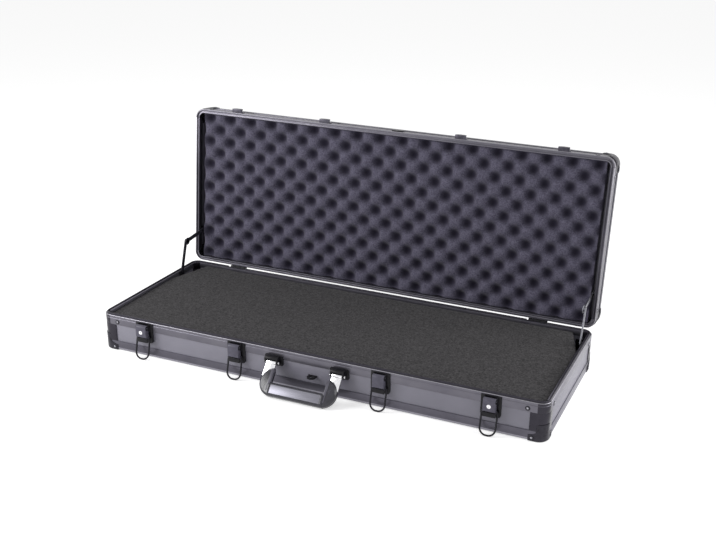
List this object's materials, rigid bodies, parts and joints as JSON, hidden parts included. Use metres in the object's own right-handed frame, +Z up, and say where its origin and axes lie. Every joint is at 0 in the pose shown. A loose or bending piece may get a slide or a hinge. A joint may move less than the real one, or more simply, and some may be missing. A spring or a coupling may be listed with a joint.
{
  "type": "tool case",
  "caption": "Long shallow tool case with a foam-filled base, a hinged lid on folding stays, draw latches with wire bails and a swinging carrying handle.",
  "frame": {"origin": "centre of the underside, on the surface the case lies on", "axes": "+X along the case to the right as seen from the front, -Y is the front with the handle and latches, +Z up"},
  "size_m": [0.9524, 0.4967, 0.4366],
  "materials": {
    "faced_board": "satin",
    "frame_extrusion": "satin",
    "black_cap": "satin",
    "base_foam": "matte",
    "lid_foam": "matte",
    "hinge_steel": "satin",
    "stay_steel": "satin",
    "bright_strap": "polished",
    "grip_plastic": "satin",
    "grip_inlay": "satin",
    "lock_metal": "satin",
    "wire": "satin",
    "pin_steel": "satin",
    "black_hardware": "satin"
  },
  "bodies": {
    "base": {"base_back_panel": "faced_board", "base_bottom_panel": "faced_board", "base_corner_caps": "black_cap", "base_corner_posts": "frame_extrusion", "base_edge_back": "frame_extrusion", "base_edge_ends": "frame_extrusion", "base_edge_front": "frame_extrusion", "base_end_panels": "faced_board", "base_foam": "base_foam", "base_front_panel": "faced_board", "base_rim_back": "frame_extrusion", "base_rim_ends": "frame_extrusion", "base_rim_front": "frame_extrusion", "handle_bracket_left": "black_hardware", "handle_bracket_right": "black_hardware", "handle_pins": "pin_steel", "hinge_base_leaves": "hinge_steel", "hinge_pins": "hinge_steel", "latch_1_plate": "black_hardware", "latch_2_plate": "black_hardware", "latch_3_plate": "black_hardware", "latch_4_plate": "black_hardware", "latch_pins": "pin_steel", "padlock_eye": "black_hardware", "stay_base_brackets": "stay_steel"},
    "lid": {"hinge_lid_leaves": "hinge_steel", "lid_back_panel": "faced_board", "lid_corner_caps": "black_cap", "lid_corner_posts": "frame_extrusion", "lid_edge_back": "frame_extrusion", "lid_edge_ends": "frame_extrusion", "lid_edge_front": "frame_extrusion", "lid_end_panels": "faced_board", "lid_foam": "lid_foam", "lid_front_panel": "faced_board", "lid_keeper": "black_hardware", "lid_rim_back": "frame_extrusion", "lid_rim_ends": "frame_extrusion", "lid_rim_front": "frame_extrusion", "lid_strikes": "black_hardware", "lid_top_panel": "faced_board", "stay_lid_brackets": "stay_steel"},
    "handle": {"handle_arm_left": "bright_strap", "handle_arm_right": "bright_strap", "handle_grip": "grip_plastic", "handle_inlay": "grip_inlay"},
    "latch_1_lever": {"latch_1_lever": "black_hardware"},
    "latch_1_bail": {"latch_1_bail": "wire"},
    "latch_2_lever": {"latch_2_lever": "black_hardware"},
    "latch_2_bail": {"latch_2_bail": "wire"},
    "latch_3_lever": {"latch_3_lever": "black_hardware"},
    "latch_3_bail": {"latch_3_bail": "wire"},
    "latch_4_lever": {"latch_4_lever": "black_hardware"},
    "latch_4_bail": {"latch_4_bail": "wire"},
    "latch_1_lock": {"latch_1_lock": "lock_metal"},
    "latch_4_lock": {"latch_4_lock": "lock_metal"},
    "stay_left_lower": {"stay_left_lower": "stay_steel"},
    "stay_left_upper": {"stay_left_upper": "stay_steel"},
    "stay_right_lower": {"stay_right_lower": "stay_steel"},
    "stay_right_upper": {"stay_right_upper": "stay_steel"}
  },
  "joints": [
    {"name": "lid_hinge", "type": "hinge", "parent": "base", "child": "lid", "pos_m": [0, 0.1776, 0.07815], "axis": [1, 0, 0], "range_deg": [0, 96.4]},
    {"name": "stay_left_lower_pivot", "type": "hinge", "parent": "base", "child": "stay_left_lower", "pos_m": [0, 0.1051, 0.078], "axis": [1, 0, 0], "range_deg": [0, 101.8]},
    {"name": "stay_left_elbow", "type": "hinge", "parent": "stay_left_lower", "child": "stay_left_upper", "pos_m": [0, 0.1265, 0.14255], "axis": [1, 0, 0], "range_deg": [-107.1, 0]},
    {"name": "stay_right_lower_pivot", "type": "hinge", "parent": "base", "child": "stay_right_lower", "pos_m": [0, 0.1051, 0.078], "axis": [1, 0, 0], "range_deg": [0, 101.8]},
    {"name": "stay_right_elbow", "type": "hinge", "parent": "stay_right_lower", "child": "stay_right_upper", "pos_m": [0, 0.1265, 0.14255], "axis": [1, 0, 0], "range_deg": [-107.1, 0]},
    {"name": "latch_1_lever_pivot", "type": "hinge", "parent": "base", "child": "latch_1_lever", "pos_m": [-0.37, -0.1845, 0.069], "axis": [1, 0, 0], "range_deg": [-110, 0]},
    {"name": "latch_1_bail_pivot", "type": "hinge", "parent": "latch_1_lever", "child": "latch_1_bail", "pos_m": [-0.37, -0.181, 0.046], "axis": [-1, 0, 0], "range_deg": [0, 168.21]},
    {"name": "latch_1_key_turn", "type": "hinge", "parent": "latch_1_lever", "child": "latch_1_lock", "pos_m": [-0.37, -0.1865, 0.0595], "axis": [0, 1, 0], "range_deg": [0, 90]},
    {"name": "latch_2_lever_pivot", "type": "hinge", "parent": "base", "child": "latch_2_lever", "pos_m": [-0.1545, -0.1845, 0.069], "axis": [1, 0, 0], "range_deg": [-110, 0]},
    {"name": "latch_2_bail_pivot", "type": "hinge", "parent": "latch_2_lever", "child": "latch_2_bail", "pos_m": [-0.1545, -0.181, 0.046], "axis": [-1, 0, 0], "range_deg": [0, 168.21]},
    {"name": "latch_3_lever_pivot", "type": "hinge", "parent": "base", "child": "latch_3_lever", "pos_m": [0.1545, -0.1845, 0.069], "axis": [1, 0, 0], "range_deg": [-110, 0]},
    {"name": "latch_3_bail_pivot", "type": "hinge", "parent": "latch_3_lever", "child": "latch_3_bail", "pos_m": [0.1545, -0.181, 0.046], "axis": [-1, 0, 0], "range_deg": [0, 168.21]},
    {"name": "latch_4_lever_pivot", "type": "hinge", "parent": "base", "child": "latch_4_lever", "pos_m": [0.37, -0.1845, 0.069], "axis": [1, 0, 0], "range_deg": [-110, 0]},
    {"name": "latch_4_bail_pivot", "type": "hinge", "parent": "latch_4_lever", "child": "latch_4_bail", "pos_m": [0.37, -0.181, 0.046], "axis": [-1, 0, 0], "range_deg": [0, 168.21]},
    {"name": "latch_4_key_turn", "type": "hinge", "parent": "latch_4_lever", "child": "latch_4_lock", "pos_m": [0.37, -0.1865, 0.0595], "axis": [0, 1, 0], "range_deg": [0, 90]},
    {"name": "handle_swing", "type": "hinge", "parent": "base", "child": "handle", "pos_m": [0, -0.185, 0.054], "axis": [1, 0, 0], "range_deg": [-60, 33]}
  ],
  "couplings": [
    {"joint": "stay_left_lower_pivot", "follows": "lid_hinge", "ratio": 1.055},
    {"joint": "stay_left_elbow", "follows": "lid_hinge", "ratio": -1.11},
    {"joint": "stay_right_lower_pivot", "follows": "lid_hinge", "ratio": 1.055},
    {"joint": "stay_right_elbow", "follows": "lid_hinge", "ratio": -1.11}
  ]
}
